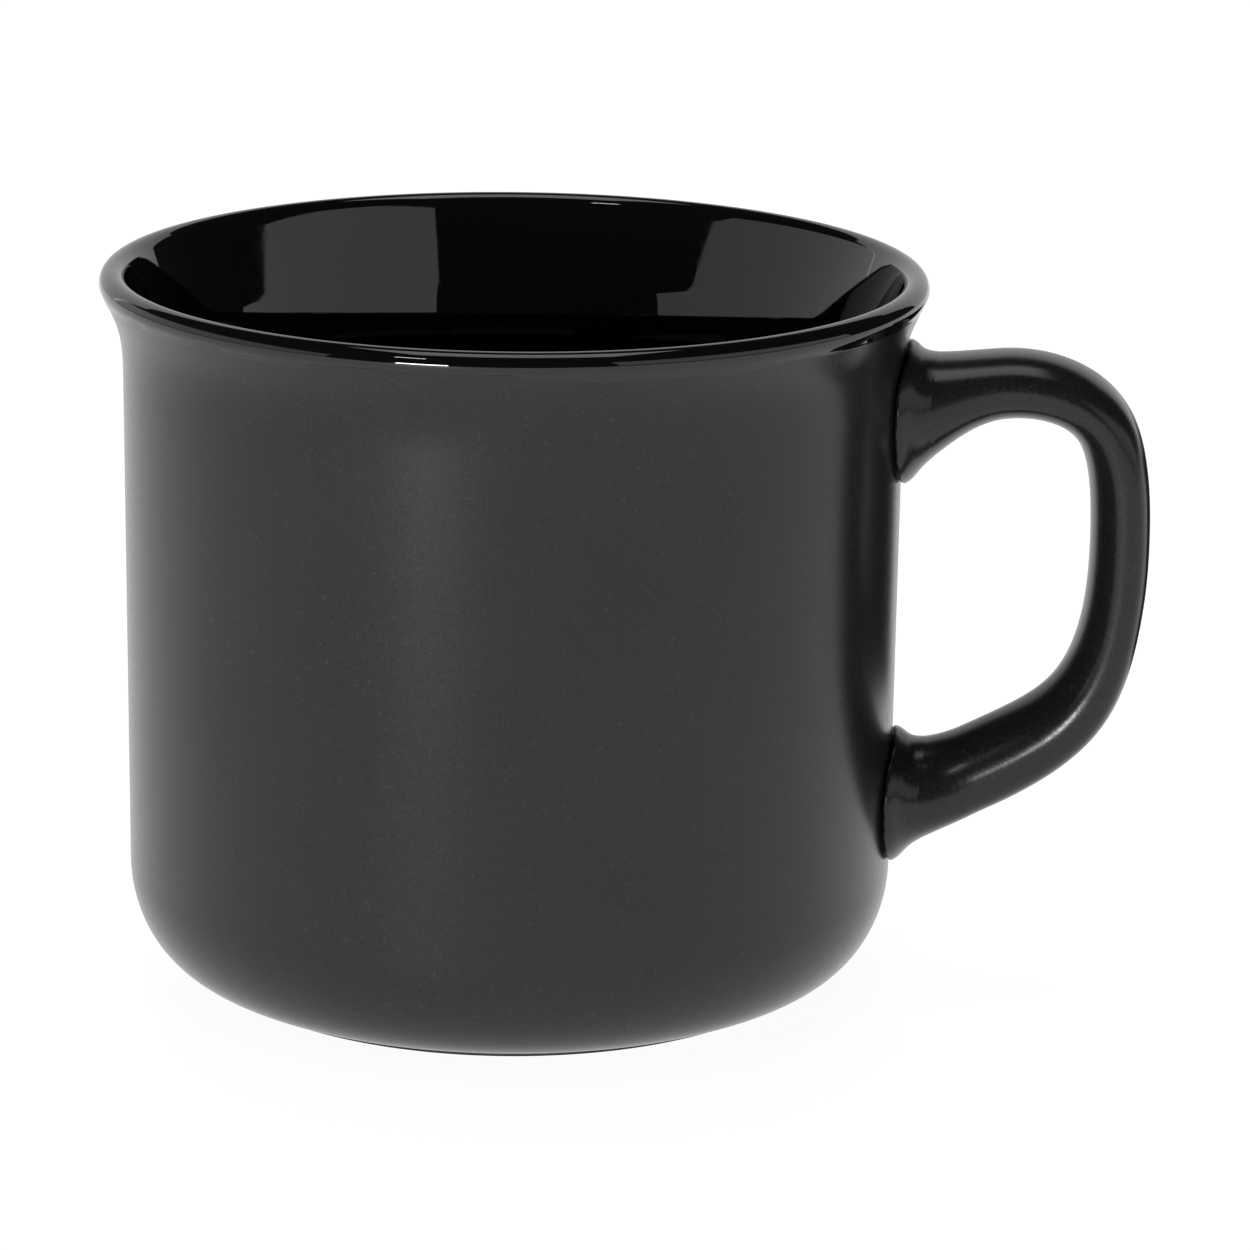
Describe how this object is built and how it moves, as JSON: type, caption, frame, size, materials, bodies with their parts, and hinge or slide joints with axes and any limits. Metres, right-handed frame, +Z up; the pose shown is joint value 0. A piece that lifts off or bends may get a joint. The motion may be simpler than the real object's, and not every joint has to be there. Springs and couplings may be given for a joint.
{
  "type": "ceramic mug",
  "caption": "Straight-walled ceramic mug with a flared lip, a D-shaped side handle, a gloss interior glaze and a matte exterior glaze.",
  "frame": {"origin": "on the cup's axis, in the plane that the foot ring stands on; the glazed underside inside the foot ring is 0.8 mm above it", "axes": "+Z up along the cup's axis, +X from the cup's axis towards the handle, +Y across the handle"},
  "size_m": [0.1175, 0.0922, 0.081],
  "materials": {
    "fired_clay": "unglazed, fine grain, only the foot ring shows",
    "luting_slip": "satin matte",
    "gloss_glaze": "high gloss black",
    "matte_glaze": "satin matte charcoal with a fine speckle"
  },
  "bodies": {
    "root": {"cup_body": "fired_clay", "handle": "fired_clay", "upper_slip_joint": "luting_slip", "lower_slip_joint": "luting_slip", "gloss_liner_glaze": "gloss_glaze", "matte_cup_glaze": "matte_glaze", "matte_handle_glaze": "matte_glaze", "base_recess_glaze": "matte_glaze"}
  },
  "joints": []
}
